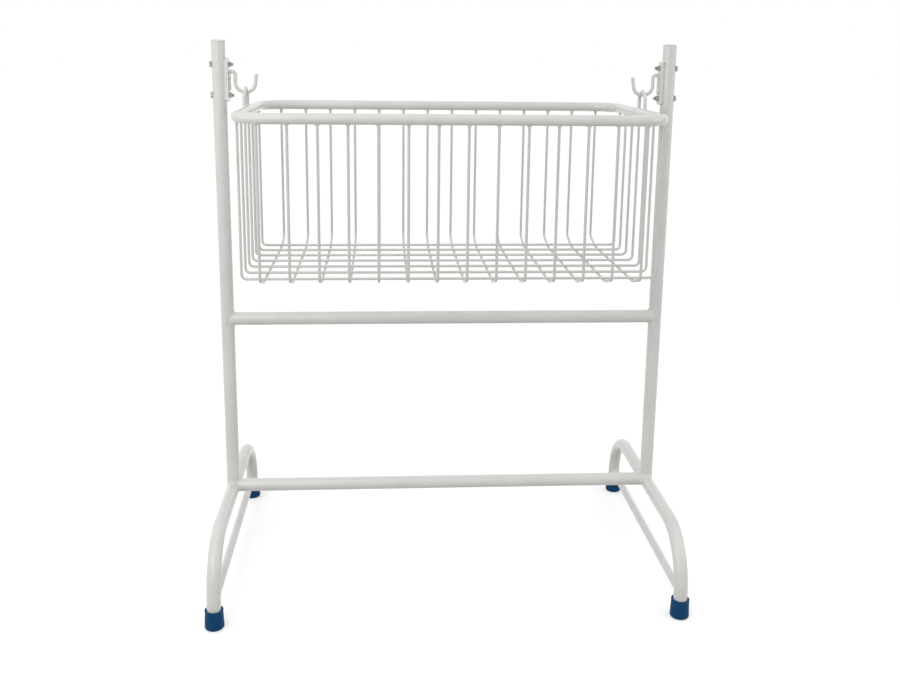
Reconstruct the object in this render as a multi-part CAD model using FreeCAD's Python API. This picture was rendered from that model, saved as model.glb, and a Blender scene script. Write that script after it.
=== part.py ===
import FreeCAD, Part
import math
import os
from FreeCAD import Vector

# Hospital bassinet: a steel tube stand with a wire basket that swings on two hooks.
# Millimetres, +Z up, +X to the right, the front is -Y.
# Origin: on the floor, midway between the four feet.

# ---------------------------------------------------------------- driving dimensions

FRAME_TUBE = 25.4            # outside diameter of uprights, leg frames and rails
FRAME_WALL = 1.5
BRACE_TUBE = 15.0            # outside diameter of the thin brace in each leg frame
BRACE_WALL = 1.2

UPRIGHT_SPACING = 848.0      # between the two upright axes, along X
STAND_HEIGHT = 1033.5        # floor to the top of the upright caps
MID_RAIL_HEIGHT = 500.0      # axis heights above the floor
LOWER_RAIL_HEIGHT = 150.5
LEG_TOP_HEIGHT = 147.5
BRACE_HEIGHT = 46.0
FOOT_SPACING = 537.0         # between the front and the rear leg axes, along Y
LEG_BEND_RADIUS = 100.0      # on the tube's axis

CAP_HEIGHT = 4.0             # the cap's visible head, from the tube's end to the top of its crown
CAP_CROWN = 1.3              # rise of the crown
CAP_FLAT_RADIUS = 4.0        # level middle of the crown
CAP_EDGE_RADIUS = 1.5
CAP_PLUG_DEPTH = 12.0
CAP_PLUG_WALL = 1.5

FERRULE_HEIGHT = 36.0
FERRULE_FLOOR = 4.0          # rubber below the end of the leg tube
FERRULE_BASE_RADIUS = 17.6
FERRULE_TOP_RADIUS = 16.0
FERRULE_EDGE_RADIUS = 3.0    # rounding of the edge that meets the floor
FERRULE_LIP_RADIUS = 1.2     # rounding of the upper lip

PLATE_WIDTH = 20.0           # flat bar that carries each hook
PLATE_HEIGHT = 80.0
PLATE_THICKNESS = 5.0
PLATE_CORNER_RADIUS = 2.5
PLATE_CENTRE_HEIGHT = 960.0
BOLT_SPACING = 56.5          # between the two bolts of a plate

BOLT_DIAMETER = 6.0
BOLT_LENGTH = 40.0
BOLT_HEAD_HEIGHT = 4.0
BOLT_CHAMFER = 0.8
NUT_HEIGHT = 5.0
HEX_ACROSS_FLATS = 10.0
BOLT_HOLE = 6.6

ROD_DIAMETER = 6.8           # hooks and hanger eyes
SWING_AXIS_HEIGHT = 938.0    # axis of the rod at the bottom of each hook
HOOK_MOUTH_RADIUS = 17.25    # on the rod's axis
HOOK_ARCH_RADIUS = 5.8       # where the rod turns over to the plate
HOOK_ARCH_TOP = 975.5        # rod axis at the top of that turn
HOOK_TAIL_BOTTOM = 943.0     # lower end of the stretch that is welded to the plate
HOOK_TAIL_FLAT = 3.0         # how much of that stretch is ground away, so that it lies flat on the plate
HOOK_TIP_HEIGHT = 971.0
HOOK_TIP_LEAN = 8.0          # degrees that the free arm leans away from the upright

RIM_TUBE = 19.0
RIM_WALL = 1.2
RIM_LENGTH = 743.5           # on the rim tube's axis, along X
RIM_WIDTH = 431.0            # on the rim tube's axis, along Y
RIM_CORNER_RADIUS = 60.0
RIM_HEIGHT = 903.5

WIRE_DIAMETER = 5.0
CROSS_WIRES = 14             # run from front to back, below the long wires
CROSS_WIRE_PITCH = 51.15
LONG_WIRES = 7               # run from end to end
LONG_WIRE_PITCH = 52.5
LONG_WIRE_SPAN = 744.0       # between the two upright ends of a long wire
LONG_WIRE_LEVEL = 615.5      # axis of the long wires along the basket's bottom
LONG_WIRE_BEND = 9.0
CROSS_WIRE_KNEE = 624.5      # height where the upright ends of a cross wire turn in
CROSS_WIRE_FLAT = 326.0      # level stretch of a cross wire; from there it rises to the knees
CROSS_WIRE_BEND = 10.0
CROSS_WIRE_EASING = 20.0     # bend radius at the ends of the level stretch

EYE_PLANE = 376.0            # distance of each hanger eye from the middle, along X
EYE_HALF_WIDTH = 22.0        # from the eye's middle to the axis of a leg
EYE_ROOF_SLOPE = 30.0        # degrees that each half of its top falls away from the apex
EYE_SHOULDER_RADIUS = 8.0
EYE_RUNNING_GAP = 0.4        # between the eye and the hook's rod

# ---------------------------------------------------------------- worked-out values

HALF_SPACING = UPRIGHT_SPACING / 2
FRAME_RADIUS = FRAME_TUBE / 2
ROD_RADIUS = ROD_DIAMETER / 2
HALF_FOOT_SPACING = FOOT_SPACING / 2
TUBE_TOP = STAND_HEIGHT - CAP_HEIGHT
PLATE_BACK = HALF_SPACING - FRAME_RADIUS
PLATE_FACE = PLATE_BACK - PLATE_THICKNESS
CROSS_WIRE_LEVEL = LONG_WIRE_LEVEL - WIRE_DIAMETER

SIDES = {"left": -1, "right": 1}
ENDS = {"front": -1, "rear": 1}

X_AXIS = Vector(1, 0, 0)
Z_AXIS = Vector(0, 0, 1)


# ---------------------------------------------------------------- shaping functions

def bar(start, end, diameter):
    """A straight round bar between two points."""
    run = end - start
    return Part.makeCylinder(diameter / 2, run.Length, start, run)


def straight_tube(start, end, diameter, wall):
    """A straight tube, open at both ends."""
    return bar(start, end, diameter).cut(bar(start, end, diameter - 2 * wall))


def bent_path(corners, radii):
    """Straight runs through the corners, with a tangent arc of the given radius at each inner one."""
    edges = []
    run_start = corners[0]
    for before, corner, after, radius in zip(corners, corners[1:], corners[2:], radii):
        back = (before - corner).normalize()
        onward = (after - corner).normalize()
        half_turn = (math.pi - back.getAngle(onward)) / 2
        tangent = radius * math.tan(half_turn)
        to_arc = radius / math.cos(half_turn) - radius
        arc_start = corner + back * tangent
        arc_middle = corner + (back + onward).normalize() * to_arc
        arc_end = corner + onward * tangent
        if (arc_start - run_start).Length > 0.001:
            edges.append(Part.LineSegment(run_start, arc_start).toShape())
        edges.append(Part.Arc(arc_start, arc_middle, arc_end).toShape())
        run_start = arc_end
    edges.append(Part.LineSegment(run_start, corners[-1]).toShape())
    return Part.Wire(edges)


def bent_bar(corners, radii, diameter):
    """A round bar that follows the bent path."""
    path = bent_path(corners, radii)
    section = Part.Wire(Part.makeCircle(diameter / 2, corners[0], corners[1] - corners[0]))
    return path.makePipe(Part.Face(section))


def bent_tube(corners, radii, diameter, wall):
    """A tube that follows the bent path, open at both ends."""
    return bent_bar(corners, radii, diameter).cut(bent_bar(corners, radii, diameter - 2 * wall))


def single_solid(shape):
    """The largest solid that a cope leaves; the slivers beyond the mating tube are dropped."""
    return max(shape.Solids, key=lambda solid: solid.Volume)


def hexagon_prism(centre, direction, height):
    """A hexagonal prism along X, with a flat on top, starting at the centre."""
    corner_radius = HEX_ACROSS_FLATS / math.sqrt(3)
    corners = []
    for step in range(7):
        angle = math.radians(60 * step)
        corners.append(centre + Vector(0, corner_radius * math.cos(angle), corner_radius * math.sin(angle)))
    return Part.Face(Part.makePolygon(corners)).extrude(direction * height)


def rounded_hexagon(centre, direction, height):
    """The prism with the corners of its outer face turned down, as on a bolt head or a nut."""
    prism = hexagon_prism(centre, direction, height)
    corner_radius = HEX_ACROSS_FLATS / math.sqrt(3)
    face_radius = HEX_ACROSS_FLATS * 0.475
    chamfer = (corner_radius - face_radius) * math.tan(math.radians(30))
    body = Part.makeCylinder(corner_radius, height - chamfer, centre, direction)
    nose = Part.makeCone(corner_radius, face_radius, chamfer, centre + direction * (height - chamfer), direction)
    return prism.common(body.fuse(nose))


# ---------------------------------------------------------------- stand

def leg_frame_corners(side):
    """The axis of a leg frame: up from the front foot, over the top and down to the rear foot."""
    x = side * HALF_SPACING
    return [
        Vector(x, -HALF_FOOT_SPACING, FERRULE_FLOOR),
        Vector(x, -HALF_FOOT_SPACING, LEG_TOP_HEIGHT),
        Vector(x, HALF_FOOT_SPACING, LEG_TOP_HEIGHT),
        Vector(x, HALF_FOOT_SPACING, FERRULE_FLOOR),
    ]


def leg_frame_bar(side):
    """The leg frame's outer skin as a solid bar, which copes the tubes that meet it."""
    return bent_bar(leg_frame_corners(side), [LEG_BEND_RADIUS] * 2, FRAME_TUBE)


def leg_frame(side):
    return bent_tube(leg_frame_corners(side), [LEG_BEND_RADIUS] * 2, FRAME_TUBE, FRAME_WALL)


def leg_brace(side):
    x = side * HALF_SPACING
    front = Vector(x, -HALF_FOOT_SPACING, BRACE_HEIGHT)
    rear = Vector(x, HALF_FOOT_SPACING, BRACE_HEIGHT)
    return single_solid(straight_tube(front, rear, BRACE_TUBE, BRACE_WALL).cut(leg_frame_bar(side)))


def upright_bar(side):
    x = side * HALF_SPACING
    return bar(Vector(x, 0, LEG_TOP_HEIGHT), Vector(x, 0, TUBE_TOP), FRAME_TUBE)


def bolt_heights():
    return {
        "upper": PLATE_CENTRE_HEIGHT + BOLT_SPACING / 2,
        "lower": PLATE_CENTRE_HEIGHT - BOLT_SPACING / 2,
    }


def upright(side):
    x = side * HALF_SPACING
    bottom = Vector(x, 0, LEG_TOP_HEIGHT)
    top = Vector(x, 0, TUBE_TOP)
    tube = straight_tube(bottom, top, FRAME_TUBE, FRAME_WALL).cut(leg_frame_bar(side))
    for height in bolt_heights().values():
        tube = tube.cut(bar(Vector(x - FRAME_TUBE, 0, height), Vector(x + FRAME_TUBE, 0, height), BOLT_HOLE))
    return single_solid(tube)


def upright_cap(side):
    """A plug with a low crowned head that covers the cut end of the tube."""
    plug_radius = FRAME_RADIUS - FRAME_WALL
    plug_bottom = TUBE_TOP - CAP_PLUG_DEPTH
    crown_radius = FRAME_RADIUS - CAP_EDGE_RADIUS
    crown_foot = STAND_HEIGHT - CAP_CROWN
    crown_run = crown_radius - CAP_FLAT_RADIUS
    edge_share = CAP_EDGE_RADIUS * math.sqrt(0.5)
    flat_end = Vector(CAP_FLAT_RADIUS, 0, STAND_HEIGHT)
    crown_middle = Vector(CAP_FLAT_RADIUS + crown_run / 2, 0, STAND_HEIGHT - CAP_CROWN / 4)
    crown_end = Vector(crown_radius, 0, crown_foot)
    edge_middle = Vector(crown_radius + edge_share, 0, crown_foot - CAP_EDGE_RADIUS + edge_share)
    outline = [
        Vector(FRAME_RADIUS, 0, crown_foot - CAP_EDGE_RADIUS),
        Vector(FRAME_RADIUS, 0, TUBE_TOP),
        Vector(plug_radius, 0, TUBE_TOP),
        Vector(plug_radius, 0, plug_bottom),
        Vector(plug_radius - CAP_PLUG_WALL, 0, plug_bottom),
        Vector(plug_radius - CAP_PLUG_WALL, 0, TUBE_TOP),
        Vector(0, 0, TUBE_TOP),
        Vector(0, 0, STAND_HEIGHT),
        flat_end,
    ]
    edges = [Part.LineSegment(start, end).toShape() for start, end in zip(outline, outline[1:])]
    edges.append(Part.Arc(flat_end, crown_middle, crown_end).toShape())
    edges.append(Part.Arc(crown_end, edge_middle, outline[0]).toShape())
    cap = Part.Face(Part.Wire(edges)).revolve(Vector(0, 0, 0), Z_AXIS, 360)
    return cap.translated(Vector(side * HALF_SPACING, 0, 0))


def rail(height):
    """A rail between the uprights, coped over everything that it meets."""
    tube = straight_tube(
        Vector(-HALF_SPACING, 0, height), Vector(HALF_SPACING, 0, height), FRAME_TUBE, FRAME_WALL)
    for side in SIDES.values():
        tube = tube.cut(upright_bar(side)).cut(leg_frame_bar(side))
    return single_solid(tube)


def ferrule(side, end):
    """A rubber cup, a little wider at the floor, with rounded edges."""
    bore = FRAME_RADIUS
    outline = [
        Vector(0, 0, 0),
        Vector(FERRULE_BASE_RADIUS, 0, 0),
        Vector(FERRULE_TOP_RADIUS, 0, FERRULE_HEIGHT),
        Vector(bore, 0, FERRULE_HEIGHT),
        Vector(bore, 0, FERRULE_FLOOR),
        Vector(0, 0, FERRULE_FLOOR),
    ]
    cup = Part.Face(Part.makePolygon(outline + outline[:1])).revolve(Vector(0, 0, 0), Z_AXIS, 360)
    for height, radius, rounding in (
            (0, FERRULE_BASE_RADIUS, FERRULE_EDGE_RADIUS),
            (FERRULE_HEIGHT, FERRULE_TOP_RADIUS, FERRULE_LIP_RADIUS)):
        rims = [edge for edge in cup.Edges if is_level_circle(edge, height, radius)]
        cup = cup.makeFillet(rounding, rims)
    return cup.translated(Vector(side * HALF_SPACING, end * HALF_FOOT_SPACING, 0))


def is_level_circle(edge, height, radius):
    curve = edge.Curve
    if not isinstance(curve, Part.Circle):
        return False
    return abs(curve.Radius - radius) < 0.01 and abs(curve.Center.z - height) < 0.01


# ---------------------------------------------------------------- hooks and their fasteners

def hook_plate(side):
    """A flat bar that stands against the inner side of the upright."""
    width = PLATE_WIDTH
    plate = Part.makeBox(
        PLATE_THICKNESS, width, PLATE_HEIGHT,
        Vector(PLATE_FACE, -width / 2, PLATE_CENTRE_HEIGHT - PLATE_HEIGHT / 2))
    corners = [edge for edge in plate.Edges if abs(edge.Length - PLATE_THICKNESS) < 0.01]
    plate = plate.makeFillet(PLATE_CORNER_RADIUS, corners)
    for height in bolt_heights().values():
        plate = plate.cut(bar(Vector(PLATE_FACE - 1, 0, height), Vector(PLATE_BACK + 1, 0, height), BOLT_HOLE))
    return plate if side > 0 else plate.mirror(Vector(0, 0, 0), X_AXIS)


def hook_bolt(side, height):
    """A hexagon bolt from the outer side of the upright, through the tube and the plate."""
    inward = Vector(-side, 0, 0)
    seat = Vector(side * (HALF_SPACING + FRAME_RADIUS), 0, height)
    head = rounded_hexagon(seat, -inward, BOLT_HEAD_HEIGHT)
    shank = Part.makeCylinder(BOLT_DIAMETER / 2, BOLT_LENGTH - BOLT_CHAMFER, seat, inward)
    point = Part.makeCone(
        BOLT_DIAMETER / 2, BOLT_DIAMETER / 2 - BOLT_CHAMFER, BOLT_CHAMFER,
        seat + inward * (BOLT_LENGTH - BOLT_CHAMFER), inward)
    return head.fuse(shank).fuse(point).removeSplitter()


def hook_nut(side, height):
    """A hexagon nut on the plate's face."""
    inward = Vector(-side, 0, 0)
    seat = Vector(side * PLATE_FACE, 0, height)
    nut = rounded_hexagon(seat, inward, NUT_HEIGHT)
    return nut.cut(Part.makeCylinder(BOLT_DIAMETER / 2, NUT_HEIGHT, seat, inward))


def hook(side):
    """A rod welded to the plate: over a small arch, down, round the open mouth and up to its tip."""
    tail_x = PLATE_FACE - ROD_RADIUS + HOOK_TAIL_FLAT
    inner_x = tail_x - 2 * HOOK_ARCH_RADIUS
    outer_x = inner_x - 2 * HOOK_MOUTH_RADIUS
    tip_x = outer_x - (HOOK_TIP_HEIGHT - SWING_AXIS_HEIGHT) * math.tan(math.radians(HOOK_TIP_LEAN))
    corners = [
        Vector(tail_x, 0, HOOK_TAIL_BOTTOM),
        Vector(tail_x, 0, HOOK_ARCH_TOP),
        Vector(inner_x, 0, HOOK_ARCH_TOP),
        Vector(inner_x, 0, SWING_AXIS_HEIGHT),
        Vector(outer_x, 0, SWING_AXIS_HEIGHT),
        Vector(tip_x, 0, HOOK_TIP_HEIGHT),
    ]
    radii = [HOOK_ARCH_RADIUS] * 2 + [HOOK_MOUTH_RADIUS] * 2
    rod = bent_bar(corners, radii, ROD_DIAMETER)
    ground_away = Part.makeBox(
        ROD_DIAMETER, 2 * ROD_DIAMETER, PLATE_HEIGHT,
        Vector(PLATE_FACE, -ROD_DIAMETER, PLATE_CENTRE_HEIGHT - PLATE_HEIGHT / 2))
    rod = single_solid(rod.cut(ground_away))
    return rod if side > 0 else rod.mirror(Vector(0, 0, 0), X_AXIS)


# ---------------------------------------------------------------- basket

def rim_bar(diameter):
    """The rim as a closed ring: a rectangle with large round corners, started at the middle of its front."""
    half_length = RIM_LENGTH / 2
    half_width = RIM_WIDTH / 2
    corners = [
        Vector(0, -half_width, RIM_HEIGHT),
        Vector(half_length, -half_width, RIM_HEIGHT),
        Vector(half_length, half_width, RIM_HEIGHT),
        Vector(0, half_width, RIM_HEIGHT),
    ]
    half = bent_bar(corners, [RIM_CORNER_RADIUS] * 2, diameter)
    other_half = half.mirror(Vector(0, 0, 0), X_AXIS)
    return half.fuse(other_half).removeSplitter()


def basket_rim():
    return rim_bar(RIM_TUBE).cut(rim_bar(RIM_TUBE - 2 * RIM_WALL))


def cross_wire(x, rim):
    """A wire from front to back: down from the rim, in at the knee, level in the middle and up again."""
    half_width = RIM_WIDTH / 2
    half_flat = CROSS_WIRE_FLAT / 2
    corners = [
        Vector(x, -half_width, RIM_HEIGHT),
        Vector(x, -half_width, CROSS_WIRE_KNEE),
        Vector(x, -half_flat, CROSS_WIRE_LEVEL),
        Vector(x, half_flat, CROSS_WIRE_LEVEL),
        Vector(x, half_width, CROSS_WIRE_KNEE),
        Vector(x, half_width, RIM_HEIGHT),
    ]
    radii = [CROSS_WIRE_BEND, CROSS_WIRE_EASING, CROSS_WIRE_EASING, CROSS_WIRE_BEND]
    wire = bent_bar(corners, radii, WIRE_DIAMETER)
    return single_solid(wire.cut(rim))


def long_wire(y, rim):
    """A U of wire from end to end, lying on the cross wires, whose ends stand under the rim."""
    half_span = LONG_WIRE_SPAN / 2
    corners = [
        Vector(-half_span, y, RIM_HEIGHT),
        Vector(-half_span, y, LONG_WIRE_LEVEL),
        Vector(half_span, y, LONG_WIRE_LEVEL),
        Vector(half_span, y, RIM_HEIGHT),
    ]
    wire = bent_bar(corners, [LONG_WIRE_BEND] * 2, WIRE_DIAMETER)
    return single_solid(wire.cut(rim))


def hanger_eye(side, rim):
    """A rod bent to a loop like a gable: its apex rides on the hook, its legs stand on the rim."""
    x = side * EYE_PLANE
    apex_radius = 2 * ROD_RADIUS + EYE_RUNNING_GAP
    slope = math.radians(EYE_ROOF_SLOPE)
    apex = SWING_AXIS_HEIGHT + apex_radius / math.cos(slope)
    shoulder = apex - EYE_HALF_WIDTH * math.tan(slope)
    corners = [
        Vector(x, -EYE_HALF_WIDTH, RIM_HEIGHT),
        Vector(x, -EYE_HALF_WIDTH, shoulder),
        Vector(x, 0, apex),
        Vector(x, EYE_HALF_WIDTH, shoulder),
        Vector(x, EYE_HALF_WIDTH, RIM_HEIGHT),
    ]
    radii = [EYE_SHOULDER_RADIUS, apex_radius, EYE_SHOULDER_RADIUS]
    return single_solid(bent_bar(corners, radii, ROD_DIAMETER).cut(rim))


# ---------------------------------------------------------------- assembly

def stand_pieces():
    pieces = {"mid_rail": rail(MID_RAIL_HEIGHT), "lower_rail": rail(LOWER_RAIL_HEIGHT)}
    for name, side in SIDES.items():
        pieces["upright_" + name] = upright(side)
        pieces["upright_cap_" + name] = upright_cap(side)
        pieces["leg_frame_" + name] = leg_frame(side)
        pieces["leg_brace_" + name] = leg_brace(side)
        pieces["hook_plate_" + name] = hook_plate(side)
        pieces["hook_" + name] = hook(side)
        for level, height in bolt_heights().items():
            pieces["hook_bolt_" + name + "_" + level] = hook_bolt(side, height)
            pieces["hook_nut_" + name + "_" + level] = hook_nut(side, height)
        for end_name, end in ENDS.items():
            pieces["ferrule_" + end_name + "_" + name] = ferrule(side, end)
    return pieces


def basket_pieces():
    rim = rim_bar(RIM_TUBE)
    pieces = {"basket_rim": basket_rim()}
    for number in range(CROSS_WIRES):
        x = (number - (CROSS_WIRES - 1) / 2) * CROSS_WIRE_PITCH
        pieces["cross_wire_%02d" % (number + 1)] = cross_wire(x, rim)
    for number in range(LONG_WIRES):
        y = (number - (LONG_WIRES - 1) / 2) * LONG_WIRE_PITCH
        pieces["long_wire_%02d" % (number + 1)] = long_wire(y, rim)
    for name, side in SIDES.items():
        pieces["hanger_eye_" + name] = hanger_eye(side, rim)
    return pieces


def main():
    os.makedirs("parts", exist_ok=True)
    pieces = {**stand_pieces(), **basket_pieces()}
    for name, shape in pieces.items():
        solid_count = len(shape.Solids)
        print("%-26s solids %d  valid %s  volume %10.1f mm3" % (name, solid_count, shape.isValid(), shape.Volume))
        shape.exportStep("parts/" + name + ".step")
    print(len(pieces), "pieces")


main()
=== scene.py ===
import math

import bmesh
import bpy
from mathutils import Matrix, Vector


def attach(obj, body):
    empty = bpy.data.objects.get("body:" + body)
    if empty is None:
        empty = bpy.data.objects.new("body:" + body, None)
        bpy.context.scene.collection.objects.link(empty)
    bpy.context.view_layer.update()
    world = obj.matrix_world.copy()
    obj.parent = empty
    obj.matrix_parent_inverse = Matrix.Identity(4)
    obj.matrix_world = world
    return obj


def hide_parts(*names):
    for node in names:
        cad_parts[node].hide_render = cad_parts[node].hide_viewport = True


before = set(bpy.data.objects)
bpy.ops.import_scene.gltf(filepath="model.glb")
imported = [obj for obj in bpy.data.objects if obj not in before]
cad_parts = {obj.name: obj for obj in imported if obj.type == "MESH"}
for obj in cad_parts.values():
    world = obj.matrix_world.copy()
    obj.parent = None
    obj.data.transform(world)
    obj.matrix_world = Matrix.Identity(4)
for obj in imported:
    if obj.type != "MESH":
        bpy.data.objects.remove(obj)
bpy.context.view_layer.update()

# ---------------------------------------------------------------- sizes
# The sizes that the welds and the remade pieces share with the solids, in metres.

FRAME_RADIUS = 0.0127
FRAME_BORE = 0.0112       # inner radius of the frame tube
BRACE_RADIUS = 0.0075
HALF_SPACING = 0.424      # from the middle of the stand to an upright's axis
HALF_FOOT_SPACING = 0.2685
MID_RAIL_HEIGHT = 0.5
LOWER_RAIL_HEIGHT = 0.1505
LEG_TOP_HEIGHT = 0.1475
BRACE_HEIGHT = 0.046

STAND_HEIGHT = 1.0335
CAP_HEIGHT = 0.004

ROD_RADIUS = 0.0034       # the bent rod of the hooks and the hanger eyes
HOOK_TAIL_BOTTOM = 0.943
HOOK_ARCH_TOP = 0.9755
PLATE_FACE = 0.4063
PLATE_BACK = 0.4113
PLATE_CENTRE_HEIGHT = 0.960
HALF_PLATE_HEIGHT = 0.040
HALF_PLATE_WIDTH = 0.010
BOLT_RADIUS = 0.003
BOLT_HEAD_HEIGHT = 0.004
BOLT_SEAT = 0.4367        # the plane under the bolt's head
BOLT_END = 0.3967
HALF_BOLT_SPACING = 0.02825
HEX_ACROSS_FLATS = 0.010

RIM_RADIUS = 0.0095
RIM_HEIGHT = 0.9035
HALF_RIM_LENGTH = 0.37175
HALF_RIM_WIDTH = 0.2155
EYE_PLANE = 0.376
EYE_HALF_WIDTH = 0.022

WIRE_RADIUS = 0.0025
CROSS_WIRES = 14
CROSS_WIRE_PITCH = 0.05115
LONG_WIRES = 7
LONG_WIRE_PITCH = 0.0525
HALF_LONG_WIRE_SPAN = 0.372
WIRE_CONTACT_HEIGHT = 0.6130

SIDES = {"left": -1, "right": 1}
ENDS = {"front": -1, "rear": 1}

X_AXIS = Vector((1, 0, 0))
Y_AXIS = Vector((0, 1, 0))
UP = Vector((0, 0, 1))
DOWN = Vector((0, 0, -1))


def evenly(count, pitch):
    """Places that stand one pitch apart, centred on zero."""
    return [(number - (count - 1) / 2) * pitch for number in range(count)]


# ---------------------------------------------------------------- camera

EYE_POINT = Vector((-0.1216, -1.8928, 1.0186))
HEADING = 0.06261         # radians to the right of straight ahead
DOWNWARD = 0.20861        # radians below the horizon
ROLL = 0.01062            # radians
FOCAL_LENGTH = 39.605     # millimetres
SENSOR_WIDTH = 36         # millimetres
SHIFT_RIGHT = 0.0075
SHIFT_UP = -0.0867


def place_camera():
    lens = bpy.data.cameras.new("studio_camera")
    lens.sensor_width = SENSOR_WIDTH
    lens.lens = FOCAL_LENGTH
    lens.shift_x = SHIFT_RIGHT
    lens.shift_y = SHIFT_UP
    camera = bpy.data.objects.new("studio_camera", lens)
    turn = Matrix.Rotation(-HEADING, 4, "Z") @ Matrix.Rotation(math.pi / 2 - DOWNWARD, 4, "X")
    camera.matrix_world = Matrix.Translation(EYE_POINT) @ turn @ Matrix.Rotation(ROLL, 4, "Z")
    bpy.context.scene.collection.objects.link(camera)
    bpy.context.scene.camera = camera


# ---------------------------------------------------------------- shader maths

class Signal:
    """One output of a shader node. Arithmetic on it adds Math nodes."""

    def __init__(self, finish, socket):
        self.finish = finish
        self.socket = socket

    def math(self, operation, *values):
        return self.finish.node("ShaderNodeMath", {"operation": operation}, *values)

    def __add__(self, other):
        return self.math("ADD", self, other)

    def __radd__(self, other):
        return self.math("ADD", other, self)

    def __sub__(self, other):
        return self.math("SUBTRACT", self, other)

    def __rsub__(self, other):
        return self.math("SUBTRACT", other, self)

    def __mul__(self, other):
        return self.math("MULTIPLY", self, other)

    def __rmul__(self, other):
        return self.math("MULTIPLY", other, self)

    def between(self, low, high):
        """0 below low, 1 above high, and a smooth rise from one to the other."""
        settings = {"interpolation_type": "SMOOTHSTEP"}
        return self.finish.node("ShaderNodeMapRange", settings, self, low, high, 0.0, 1.0)


class Finish:
    """A node material or world while it is being put together."""

    def __init__(self, block):
        block.use_nodes = True
        self.block = block
        self.tree = block.node_tree
        self.tree.nodes.clear()

    def node(self, kind, settings, *values, output=0, **named):
        """Adds a node with these settings and returns one of its outputs.

        The values fill its sockets in order, and the named ones fill the sockets of those names."""
        added = self.tree.nodes.new(kind)
        for name, value in settings.items():
            setattr(added, name, value)
        filled = dict(enumerate(values))
        filled.update(named)
        for key, value in filled.items():
            socket = added.inputs[key if isinstance(key, int) else key.replace("_", " ")]
            if isinstance(value, Signal):
                self.tree.links.new(value.socket, socket)
            elif value is not None:
                socket.default_value = value
        return Signal(self, added.outputs[output])

    def place(self):
        """The point on the piece, in metres."""
        return self.node("ShaderNodeTexCoord", {}, output="Object")

    def noise(self, place, scale, detail=2.0, roughness=0.5):
        return self.node(
            "ShaderNodeTexNoise", {}, Vector=place, Scale=scale, Detail=detail, Roughness=roughness)

    def colour_mix(self, factor, first, second):
        """A colour that goes from the first to the second as the factor rises."""
        mixer = self.tree.nodes.new("ShaderNodeMix")
        mixer.data_type = "RGBA"
        for index, value in ((0, factor), (6, first), (7, second)):
            if isinstance(value, Signal):
                self.tree.links.new(value.socket, mixer.inputs[index])
            else:
                mixer.inputs[index].default_value = value
        return Signal(self, mixer.outputs[2])

    def bump(self, height, distance, normal=None):
        return self.node("ShaderNodeBump", {}, Distance=distance, Height=height, Normal=normal)

    def surface(self, shader):
        """Ends the material or world with this shader and returns it."""
        is_world = isinstance(self.block, bpy.types.World)
        kind = "ShaderNodeOutputWorld" if is_world else "ShaderNodeOutputMaterial"
        output = self.tree.nodes.new(kind)
        self.tree.links.new(shader.socket, output.inputs["Surface"])
        return self.block


def srgb(red, green, blue):
    """A colour written as screen values from 0 to 255."""
    def linear(value):
        value /= 255
        return value / 12.92 if value <= 0.04045 else ((value + 0.055) / 1.055) ** 2.4
    return (linear(red), linear(green), linear(blue), 1.0)


# ---------------------------------------------------------------- finishes

def white_enamel(name, shade):
    """Baked enamel: level but slightly wavy, with fine orange peel and a faint mottle."""
    # A shade below 1 darkens every tone of the enamel; the wires use it for painted shade.
    def tone(red, green, blue):
        return srgb(red * shade, green * shade, blue * shade)

    finish = Finish(bpy.data.materials.new(name))
    place = finish.place()
    cloud = finish.noise(place, 14.0, 3.0).between(0.3, 0.7)
    blush = finish.noise(place, 31.0, 2.0).between(0.35, 0.75)
    base = finish.colour_mix(cloud, tone(212, 210, 205), tone(219, 217, 213))
    colour = finish.colour_mix(blush * 0.5, base, tone(217, 212, 210))
    peel = finish.noise(place, 620.0, 2.0, 0.6)
    sag = finish.noise(place, 75.0, 1.0)
    ripple = finish.bump(sag, 0.0006)
    skin = finish.bump(peel, 0.00008, normal=ripple)
    gloss = finish.noise(place, 140.0, 2.0) * 0.10 + 0.19
    paint = finish.node(
        "ShaderNodeBsdfPrincipled", {}, Base_Color=colour, Roughness=gloss, Normal=skin,
        Coat_Weight=0.4, Coat_Roughness=0.12)
    return finish.surface(paint)


def blue_rubber():
    """Moulded rubber: deep blue, dull, with a fine grain and lighter scuffs near the floor."""
    finish = Finish(bpy.data.materials.new("blue_rubber_moulding"))
    place = finish.place()
    height = finish.node("ShaderNodeSeparateXYZ", {}, place, output=2)
    cloud = finish.noise(place, 60.0, 4.0)
    colour = finish.colour_mix(cloud, (0.0025, 0.044, 0.118, 1.0), (0.005, 0.064, 0.168, 1.0))
    scuff = finish.noise(place, 420.0, 4.0, 0.7).between(0.60, 0.75)
    low = 1.0 - height.between(0.0, 0.006)
    worn = finish.colour_mix(scuff * low * 0.5, colour, srgb(70, 96, 124))
    grain = finish.noise(place, 1800.0, 2.0)
    skin = finish.bump(grain, 0.00012)
    dullness = finish.noise(place, 200.0, 2.0) * 0.14 + 0.46
    rubber = finish.node(
        "ShaderNodeBsdfPrincipled", {}, Base_Color=worn, Roughness=dullness, Normal=skin,
        Specular_IOR_Level=0.12)
    return finish.surface(rubber)


def zinc_plate():
    """Zinc plating: grey, with fine spangle and darker stains."""
    finish = Finish(bpy.data.materials.new("zinc_plated_steel_finish"))
    place = finish.place()
    spangle = finish.noise(place, 900.0, 3.0)
    stain = finish.noise(place, 260.0, 3.0).between(0.45, 0.65)
    plain = finish.colour_mix(spangle, srgb(150, 152, 150), srgb(190, 191, 187))
    colour = finish.colour_mix(stain * 0.6, plain, srgb(104, 102, 96))
    skin = finish.bump(spangle, 0.00004)
    dullness = stain * 0.16 + 0.30
    metal = finish.node(
        "ShaderNodeBsdfPrincipled", {}, Base_Color=colour, Metallic=1.0, Roughness=dullness,
        Normal=skin)
    return finish.surface(metal)


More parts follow.
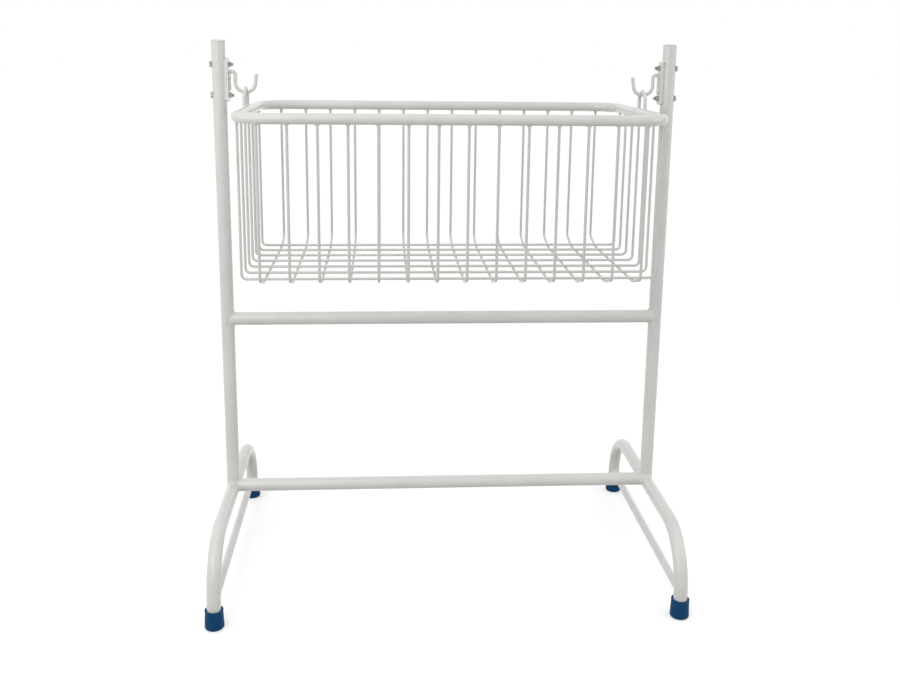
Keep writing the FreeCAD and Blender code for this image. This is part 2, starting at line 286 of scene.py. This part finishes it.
def white_plastic():
    """Moulded plastic: matt white, slightly clouded, with a fine grain."""
    finish = Finish(bpy.data.materials.new("white_moulded_plastic"))
    place = finish.place()
    cloud = finish.noise(place, 120.0, 3.0)
    colour = finish.colour_mix(cloud, srgb(214, 213, 208), srgb(222, 221, 217))
    grain = finish.noise(place, 1500.0, 2.0)
    skin = finish.bump(grain, 0.00005)
    plastic = finish.node(
        "ShaderNodeBsdfPrincipled", {}, Base_Color=colour, Roughness=0.42, Normal=skin)
    return finish.surface(plastic)


FINISHES = {
    "white_enamel": white_enamel("white_enamel_paint", 1.0),
    "blue_rubber": blue_rubber(),
    "zinc_plated_steel": zinc_plate(),
    "white_plastic": white_plastic(),
}

# The wires' enamel is the frame's, made 6 and 3 per cent darker: painted shade, not a different
# paint.
PAINTED_SHADE_WIRE_FINISHES = {
    "cross_wire": white_enamel("white_enamel_cross_wires_painted_shade", 0.94),
    "long_wire": white_enamel("white_enamel_long_wires_painted_shade", 0.97),
}


def dress_nodes():
    """Gives every CAD node the finish of its slot, and the wires a darker enamel: painted shade."""
    for name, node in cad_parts.items():
        kind = name.rsplit("_", 1)[0]
        for material_slot in node.material_slots:
            slot = material_slot.material.name.split(".")[0]
            material_slot.material = PAINTED_SHADE_WIRE_FINISHES.get(kind, FINISHES[slot])


# ---------------------------------------------------------------- modelling

def finish_piece(form, name, body, slot, *replaced, crease=40):
    """Turns a bmesh into a piece that rides on a body and has the finish of a slot.

    It takes the place of the replaced nodes, and edges sharper than the crease stay sharp."""
    bmesh.ops.remove_doubles(form, verts=form.verts, dist=1e-6)
    bmesh.ops.recalc_face_normals(form, faces=form.faces)
    mesh = bpy.data.meshes.new(name)
    form.to_mesh(mesh)
    form.free()
    mesh.shade_smooth()
    mesh.set_sharp_from_angle(angle=math.radians(crease))
    mesh.materials.append(FINISHES[slot])
    piece = bpy.data.objects.new(name, mesh)
    bpy.context.scene.collection.objects.link(piece)
    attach(piece, body)
    if replaced:
        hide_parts(*replaced)


def spun(form, outline, steps, closed=False):
    """Spins an outline of (radius, height) points once round Z and returns the new vertices."""
    known = set(form.verts)
    points = [form.verts.new((radius, 0.0, height)) for radius, height in outline]
    pairs = list(zip(points, points[1:]))
    if closed:
        pairs.append((points[-1], points[0]))
    edges = [form.edges.new(pair) for pair in pairs]
    bmesh.ops.spin(
        form, geom=points + edges, cent=(0, 0, 0), axis=(0, 0, 1), angle=2 * math.pi, steps=steps,
        use_merge=True, use_duplicate=False)
    return [vertex for vertex in form.verts if vertex not in known]


def facing(origin, up, along):
    """The frame whose Z runs up and whose X runs along, at the origin."""
    side = up.cross(along)
    turn = Matrix((along, side, up)).transposed().to_4x4()
    return Matrix.Translation(origin) @ turn


def arc(centre, radius, start, end, steps):
    """Points on an arc, with its angles in degrees."""
    turns = [math.radians(start + (end - start) * step / steps) for step in range(steps + 1)]
    return [
        (centre[0] + radius * math.cos(turn), centre[1] + radius * math.sin(turn))
        for turn in turns]


# ---------------------------------------------------------------- welds

UPRIGHT_WELD = 0.0055     # legs of the fillets, in metres
MID_RAIL_WELD = 0.0055
LOWER_RAIL_WELD = 0.005
BRACE_WELD = 0.0038
WIRE_WELD = 0.0042
EYE_WELD = 0.0035

SPREAD = 0.97             # a fillet's section, in legs: how far its hollow face spreads
SUNK = -0.4               # and how deep its foot is sunk into the tubes
FILLET_SECTION = arc((SPREAD, SPREAD), 1.0, 180, 270, 5)
FILLET_SECTION += [(SPREAD, SUNK), (SUNK, SUNK), (SUNK, SPREAD)]
FAR = 10.0                # the section is spun this far out, so that none of it crosses the axis

HOOK_RUN_RADIUS = 0.0019
HOOK_RUN_DROPS = 13
HOOK_RUN_INSET = 0.001    # from the ends of the rod's tail
HOOK_WELD_RISE = 0.0007   # the middles of the drops stand this far off the plate's face
HOOK_WELD_GAP = 0.0004    # and this far off the rod's flank
HOOK_END_RADIUS = 0.0021
HOOK_END_PITCH = 0.0022
HOOK_END_DROP = 0.0002    # below the rod's tail

SEAM_SECTION = (          # (behind the plate's back, in from the plate's edge)
    (-0.0006, 0.0012), (0.0016, 0.0021), (0.0042, 0.0018), (0.0046, 0.0030), (-0.0006, 0.0030))
SEAM_INSET = 0.0025       # from the plate's ends

LUMP_RADIUS = 0.0031
LUMP_RADIUS_CHANGE = 0.0004
HALF_LUMP_HEIGHT = 0.0015


def tube_reach(lateral, radius):
    """How far a tube's skin stands from its axis, at this distance to the side of the axis."""
    return math.sqrt(max(radius ** 2 - lateral ** 2, 0.0))


def weld_fillet(form, place, radius, leg, reach, sides=1.0, steps=36):
    """A soft fillet round the foot of a tube that stands along Z, on the skin that reach gives.

    The sides say how large it is where the foot runs down the flanks of the tube below."""
    section = [(FAR + out, up) for out, up in FILLET_SECTION]
    for vertex in spun(form, section, steps, closed=True):
        turn = math.atan2(vertex.co.y, vertex.co.x)
        out = math.hypot(vertex.co.x, vertex.co.y) - FAR
        waver = 0.07 * math.sin(9 * turn + 40 * radius) + 0.04 * math.sin(17 * turn)
        size = leg * (sides + (1 - sides) * abs(math.cos(turn))) * (1 + waver)
        across = radius + size * out
        x, y = across * math.cos(turn), across * math.sin(turn)
        vertex.co = place @ Vector((x, y, reach(x, y) + size * vertex.co.z))


def stand_welds(name, side):
    """The fillets of one side: at the upright's foot, one end of each rail and both brace ends."""
    x = side * HALF_SPACING
    inward = -side * X_AXIS
    form = bmesh.new()

    def on_tube(_, lateral):
        return tube_reach(lateral, FRAME_RADIUS)

    def on_upright_and_leg(lateral, across):
        above_leg = LOWER_RAIL_HEIGHT - side * across - LEG_TOP_HEIGHT
        on_upright = tube_reach(lateral, FRAME_RADIUS) if above_leg > 0 else 0.0
        return max(on_upright, tube_reach(above_leg, FRAME_RADIUS))

    upright_foot = facing(Vector((x, 0, LEG_TOP_HEIGHT)), UP, Y_AXIS)
    weld_fillet(form, upright_foot, FRAME_RADIUS, UPRIGHT_WELD, on_tube, 0.2)
    mid_rail_end = facing(Vector((x, 0, MID_RAIL_HEIGHT)), inward, UP)
    weld_fillet(form, mid_rail_end, FRAME_RADIUS, MID_RAIL_WELD, on_tube, 0.2)
    lower_rail_end = facing(Vector((x, 0, LOWER_RAIL_HEIGHT)), inward, Y_AXIS)
    weld_fillet(form, lower_rail_end, FRAME_RADIUS, LOWER_RAIL_WELD, on_upright_and_leg, 0.5)
    for end in ENDS.values():
        foot = Vector((x, end * HALF_FOOT_SPACING, BRACE_HEIGHT))
        brace_end = facing(foot, -end * Y_AXIS, UP)
        weld_fillet(form, brace_end, BRACE_RADIUS, BRACE_WELD, on_tube, 0.8, 28)
    finish_piece(form, "stand_welds_" + name, "stand", "white_enamel")


def weld_run(form, start, end, radius, drops, seed):
    """A lumpy run of overlapping weld drops from start to end."""
    for number in range(drops):
        centre = start.lerp(end, number / max(drops - 1, 1))
        centre.y += 0.22 * radius * math.sin(seed + 2.4 * number)
        swelling = 0.16 * math.sin(3 * seed + 1.7 * number) + 0.10 * math.sin(seed + 0.9 * number)
        size = radius * (1 + swelling)
        drop = Matrix.Translation(centre) @ Matrix.Diagonal((size, size, 1.25 * size, 1.0))
        bmesh.ops.create_icosphere(form, subdivisions=2, radius=1.0, matrix=drop)


def hook_welds(name, side):
    """The runs of weld down both flanks of the rod's tail and round its lower end."""
    form = bmesh.new()
    seam_x = side * (PLATE_FACE - HOOK_WELD_RISE)
    lower = HOOK_TAIL_BOTTOM + HOOK_RUN_INSET
    upper = HOOK_ARCH_TOP - HOOK_RUN_INSET
    for end in ENDS.values():
        seam_y = end * (ROD_RADIUS + HOOK_WELD_GAP)
        start = Vector((seam_x, seam_y, lower))
        stop = Vector((seam_x, seam_y, upper))
        weld_run(form, start, stop, HOOK_RUN_RADIUS, HOOK_RUN_DROPS, seed=1.0 + end)
    for across in (-HOOK_END_PITCH, 0.0, HOOK_END_PITCH):
        spot = Vector((seam_x, across, HOOK_TAIL_BOTTOM - HOOK_END_DROP))
        weld_run(form, spot, spot, HOOK_END_RADIUS, 1, seed=2.0 + 300 * across)
    finish_piece(form, "hook_welds_" + name, "stand", "white_enamel", crease=80)


def plate_seams(name, side):
    """The enamel that bridges the wedge between the flat plate and the round upright."""
    form = bmesh.new()
    low = PLATE_CENTRE_HEIGHT - HALF_PLATE_HEIGHT + SEAM_INSET
    length = 2 * HALF_PLATE_HEIGHT - 2 * SEAM_INSET
    for end in ENDS.values():
        corners = [
            form.verts.new((side * (PLATE_BACK + behind), end * (HALF_PLATE_WIDTH - inside), low))
            for behind, inside in SEAM_SECTION]
        face = form.faces.new(corners)
        grown = bmesh.ops.extrude_face_region(form, geom=[face])
        risen = [part for part in grown["geom"] if isinstance(part, bmesh.types.BMVert)]
        bmesh.ops.translate(form, vec=(0, 0, length), verts=risen)
    finish_piece(form, "plate_seams_" + name, "stand", "white_enamel", crease=30)


def rim_welds():
    """The flares where the wires end under the rim and where the hanger eyes stand on it."""
    form = bmesh.new()

    def on_rim(offset):
        return lambda along, lateral: tube_reach(lateral + offset, RIM_RADIUS)

    for x in evenly(CROSS_WIRES, CROSS_WIRE_PITCH):
        for end in ENDS.values():
            foot = facing(Vector((x, end * HALF_RIM_WIDTH, RIM_HEIGHT)), DOWN, X_AXIS)
            weld_fillet(form, foot, WIRE_RADIUS, WIRE_WELD, on_rim(0.0), steps=14)
    for y in evenly(LONG_WIRES, LONG_WIRE_PITCH):
        for side in SIDES.values():
            foot = facing(Vector((side * HALF_LONG_WIRE_SPAN, y, RIM_HEIGHT)), DOWN, Y_AXIS)
            weld_fillet(form, foot, WIRE_RADIUS, WIRE_WELD, on_rim(0.0), steps=14)
    for side in SIDES.values():
        offset = -side * (EYE_PLANE - HALF_RIM_LENGTH)
        for end in ENDS.values():
            place = Vector((side * EYE_PLANE, end * EYE_HALF_WIDTH, RIM_HEIGHT))
            foot = facing(place, UP, Y_AXIS)
            weld_fillet(form, foot, ROD_RADIUS, EYE_WELD, on_rim(offset), 0.5, 20)
    finish_piece(form, "rim_welds", "basket", "white_enamel")


def crossing_welds():
    """The small lump of the spot weld wherever a long wire lies on a cross wire."""
    form = bmesh.new()
    for row, y in enumerate(evenly(LONG_WIRES, LONG_WIRE_PITCH)):
        for column, x in enumerate(evenly(CROSS_WIRES, CROSS_WIRE_PITCH)):
            size = LUMP_RADIUS + LUMP_RADIUS_CHANGE * math.sin(5 * row + 3 * column)
            place = Matrix.Translation((x, y, WIRE_CONTACT_HEIGHT))
            lump = place @ Matrix.Diagonal((size, size, HALF_LUMP_HEIGHT, 1.0))
            bmesh.ops.create_icosphere(form, subdivisions=2, radius=1.0, matrix=lump)
    finish_piece(form, "crossing_welds", "basket", "white_enamel", crease=80)


# ---------------------------------------------------------------- fasteners

THREAD_LENGTH = 0.018
THREAD_DEPTH = 0.0004
THREAD_PITCH = 0.001
THREAD_TURNS = 16
THREAD_START = 0.0007     # from the bolt's end
THREAD_ROOT = 0.0001      # how deep the thread's foot is sunk into the core
STEPS_PER_TURN = 20
POINT_LENGTH = 0.0006     # the bolt's end tapers over this length
POINT_TAPER = 0.0008
HEAD_BEVEL = 0.0006
BOLTS = {                 # the head's turn in degrees, and its height from the plate's centre
    "upper": (17, HALF_BOLT_SPACING),
    "lower": (34, -HALF_BOLT_SPACING),
}


def bolt_head(form, turned):
    """A hexagon with soft edges on its outer face."""
    corner_radius = HEX_ACROSS_FLATS / math.sqrt(3)
    place = Matrix.Translation((0, 0, BOLT_HEAD_HEIGHT / 2))
    bmesh.ops.create_cone(
        form, cap_ends=True, segments=6, radius1=corner_radius, radius2=corner_radius,
        depth=BOLT_HEAD_HEIGHT, matrix=place @ Matrix.Rotation(math.radians(turned), 4, "Z"))
    outer = [
        edge for edge in form.edges
        if all(corner.co.z > BOLT_HEAD_HEIGHT / 2 for corner in edge.verts)]
    bmesh.ops.bevel(
        form, geom=outer, offset=HEAD_BEVEL, affect="EDGES", segments=2, profile=0.5, material=-1)


def bolt_thread(form, core, tip):
    """One ridge that winds round the core, with both its ends closed."""
    root = core - THREAD_ROOT
    low = tip + THREAD_START
    section = [
        (root, low), (BOLT_RADIUS, low + 0.4 * THREAD_PITCH),
        (BOLT_RADIUS, low + 0.5 * THREAD_PITCH), (root, low + 0.9 * THREAD_PITCH)]
    points = [form.verts.new((radius, 0.0, rise)) for radius, rise in section]
    edges = [form.edges.new(pair) for pair in zip(points, points[1:] + points[:1])]
    bmesh.ops.spin(
        form, geom=points + edges, cent=(0, 0, 0), axis=(0, 0, 1),
        angle=2 * math.pi * THREAD_TURNS, steps=STEPS_PER_TURN * THREAD_TURNS,
        dvec=(0, 0, THREAD_PITCH / STEPS_PER_TURN), use_duplicate=False)
    loose = [edge for edge in form.edges if edge.is_boundary]
    bmesh.ops.holes_fill(form, edges=loose, sides=0)


def threaded_bolt(name, side, turned, height):
    """A hexagon bolt whose thread shows beyond its nut."""
    form = bmesh.new()
    bolt_head(form, turned)
    tip = BOLT_END - BOLT_SEAT
    thread_top = tip + THREAD_LENGTH
    core = BOLT_RADIUS - THREAD_DEPTH
    shank = [(0.0, 0.0), (BOLT_RADIUS, 0.0), (BOLT_RADIUS, thread_top), (core, thread_top)]
    shank += [(core, tip + POINT_LENGTH), (core - POINT_TAPER, tip), (0.0, tip)]
    spun(form, shank, 24)
    bolt_thread(form, core, tip)
    seat = facing(Vector((side * BOLT_SEAT, 0, height)), side * X_AXIS, UP)
    bmesh.ops.transform(form, matrix=seat, verts=form.verts)
    finish_piece(form, "bolt_" + name, "stand", "zinc_plated_steel", "hook_bolt_" + name, crease=35)


# ---------------------------------------------------------------- caps and ferrules

CROWN = ((0.0, 0.0), (0.0035, 0.00003), (0.0065, 0.0003), (0.0092, 0.0008))  # (radius, drop)
CAP_EDGE_RADIUS = 0.0015
CAP_EDGE_DROP = 0.0028    # from the top to the lower end of the soft edge
CAP_BEVEL = 0.0003        # of the lower edge
PLUG_LENGTH = 0.012
PLUG_TIP = 0.0005         # length of the plug's tapered tip
PLUG_TAPER = 0.0002
PLUG_RADIUS_INSIDE = 0.0097

# The ferrule, as (radius, height) from the floor.
GROOVE = 0.0009           # depth of the rings under the sole
SOLE_RINGS = (
    (0.0, GROOVE), (0.0050, GROOVE), (0.0054, 0.0), (0.0084, 0.0), (0.0088, GROOVE),
    (0.0108, GROOVE), (0.0112, 0.0))
SOLE_EDGE_RADIUS = 0.0040
SOLE_EDGE_CENTRE = (0.01345, SOLE_EDGE_RADIUS)
CUP_WALL = ((0.01730, 0.0080), (0.01695, 0.0170), (0.01655, 0.0260), (0.01630, 0.0325))
LIP_OUTER_CENTRE = (0.01535, 0.0346)
LIP_OUTER_RADIUS = 0.0013
LIP_INNER_CENTRE = (0.0142, 0.0347)
LIP_INNER_RADIUS = 0.0012
CUP_MOUTH = 0.0320        # height up to which the cup fits the tube
CUP_FLOOR = 0.0040        # height on which the tube stands


def crowned_cap(name, side):
    """The tube's cap: a low crown with a soft edge, and its plug inside the tube."""
    top = STAND_HEIGHT
    seat = top - CAP_HEIGHT
    tip = seat - PLUG_LENGTH
    outline = [(radius, top - drop) for radius, drop in CROWN]
    outline += arc((FRAME_BORE, top - CAP_EDGE_DROP), CAP_EDGE_RADIUS, 90, 0, 6)
    outline += [(FRAME_RADIUS, seat + CAP_BEVEL), (FRAME_RADIUS - CAP_BEVEL, seat)]
    outline += [(FRAME_BORE, seat), (FRAME_BORE, tip + PLUG_TIP), (FRAME_BORE - PLUG_TAPER, tip)]
    outline += [(PLUG_RADIUS_INSIDE, tip), (PLUG_RADIUS_INSIDE, seat), (0.0, seat)]
    form = bmesh.new()
    spun(form, outline, 64)
    bmesh.ops.translate(form, vec=(side * HALF_SPACING, 0, 0), verts=form.verts)
    finish_piece(form, "cap_" + name, "stand", "white_plastic", "upright_cap_" + name, crease=50)


def rubber_ferrule(name, side, end):
    """A moulded cup with a rolled lip, a rounded sole edge and ring grooves under the sole."""
    outline = list(SOLE_RINGS)
    outline += arc(SOLE_EDGE_CENTRE, SOLE_EDGE_RADIUS, -90, -5, 7)
    outline += CUP_WALL
    outline += arc(LIP_OUTER_CENTRE, LIP_OUTER_RADIUS, -35, 90, 6)
    outline += arc(LIP_INNER_CENTRE, LIP_INNER_RADIUS, 90, 180, 3)
    outline += [(FRAME_RADIUS, CUP_MOUTH), (FRAME_RADIUS, CUP_FLOOR), (0.0, CUP_FLOOR)]
    form = bmesh.new()
    spun(form, outline, 56)
    place = (side * HALF_SPACING, end * HALF_FOOT_SPACING, 0)
    bmesh.ops.translate(form, vec=place, verts=form.verts)
    finish_piece(form, "foot_" + name, "stand", "blue_rubber", "ferrule_" + name, crease=50)


# ---------------------------------------------------------------- studio

WHITE = (1.0, 1.0, 1.0, 1.0)
SKY_TINT = (0.965, 0.985, 1.0, 1.0)
WORLD_LIGHT = 0.83        # strength of the sky where it only lights other surfaces
FLOOR_PAPER = (0.82, 0.81, 0.80, 1.0)
FLOOR_GLOW = 0.33
FLOOR_BOUNCE = (0.43, 0.415, 0.39, 1.0)
FLOOR_SIZE = 40.0
SOFTBOX_SIZE = 1.2
LIT_POINT = Vector((0.0, 0.0, 1.0))


def shown_directly(finish):
    """1 where the camera, a mirror or clear material shows the surface, 0 where it lights others."""
    path = finish.tree.nodes.new("ShaderNodeLightPath")
    rays = ("Is Camera Ray", "Is Glossy Ray", "Is Transmission Ray")
    seen, mirrored, through = (Signal(finish, path.outputs[name]) for name in rays)
    settings = {"operation": "MINIMUM"}
    return finish.node("ShaderNodeMath", settings, seen + mirrored + through, 1.0)


def white_world():
    finish = Finish(bpy.data.worlds.new("studio_world"))
    shown = shown_directly(finish)
    colour = finish.colour_mix(shown, SKY_TINT, WHITE)
    strength = shown * (1.0 - WORLD_LIGHT) + WORLD_LIGHT
    sky = finish.node("ShaderNodeBackground", {}, Color=colour, Strength=strength)
    bpy.context.scene.world = finish.surface(sky)


def pale_floor():
    finish = Finish(bpy.data.materials.new("pale_floor"))
    paper = finish.node("ShaderNodeBsdfDiffuse", {}, Color=FLOOR_PAPER)
    glow = finish.node("ShaderNodeEmission", {}, Color=WHITE, Strength=FLOOR_GLOW)
    lit = finish.node("ShaderNodeAddShader", {}, paper, glow)
    bounce = finish.node("ShaderNodeBsdfDiffuse", {}, Color=FLOOR_BOUNCE)
    both = finish.node("ShaderNodeMixShader", {}, shown_directly(finish), bounce, lit)
    sheet = bmesh.new()
    bmesh.ops.create_grid(sheet, x_segments=1, y_segments=1, size=FLOOR_SIZE)
    mesh = bpy.data.meshes.new("studio_floor")
    sheet.to_mesh(mesh)
    sheet.free()
    mesh.materials.append(finish.surface(both))
    floor = bpy.data.objects.new("studio_floor", mesh)
    bpy.context.scene.collection.objects.link(floor)


def shining(direction):
    """The turn of a lamp that shines in this direction."""
    return Vector(direction).to_track_quat("-Z", "Y").to_euler()


def sun(name, strength, spread, direction):
    lamp = bpy.data.lights.new(name, "SUN")
    lamp.energy = strength
    lamp.angle = math.radians(spread)
    light = bpy.data.objects.new(name, lamp)
    light.rotation_euler = shining(direction)
    bpy.context.scene.collection.objects.link(light)


def softbox(name, power, place):
    """A square lamp that stands near the object, so that the far side gets a little less light."""
    lamp = bpy.data.lights.new(name, "AREA")
    lamp.energy = power
    lamp.size = SOFTBOX_SIZE
    light = bpy.data.objects.new(name, lamp)
    light.location = place
    light.rotation_euler = shining(LIT_POINT - Vector(place))
    bpy.context.scene.collection.objects.link(light)


def light_studio():
    white_world()
    pale_floor()
    softbox("key_light", power=7.0, place=(-0.8, -1.4, 1.4))
    for name, side in SIDES.items():
        softbox("fill_light_" + name, power=5.0, place=(side * 2.0, -0.6, 1.2))
    sun("top_light", strength=0.10, spread=16, direction=(0.1, 0.35, -1.0))


# ---------------------------------------------------------------- assembly

def build_details():
    for name, side in SIDES.items():
        stand_welds(name, side)
        hook_welds(name, side)
        plate_seams(name, side)
        crowned_cap(name, side)
        for level, (turned, rise) in BOLTS.items():
            threaded_bolt(name + "_" + level, side, turned, PLATE_CENTRE_HEIGHT + rise)
        for end_name, end in ENDS.items():
            rubber_ferrule(end_name + "_" + name, side, end)
    rim_welds()
    crossing_welds()


bpy.context.scene.view_settings.view_transform = "Standard"
place_camera()
light_studio()
dress_nodes()
build_details()
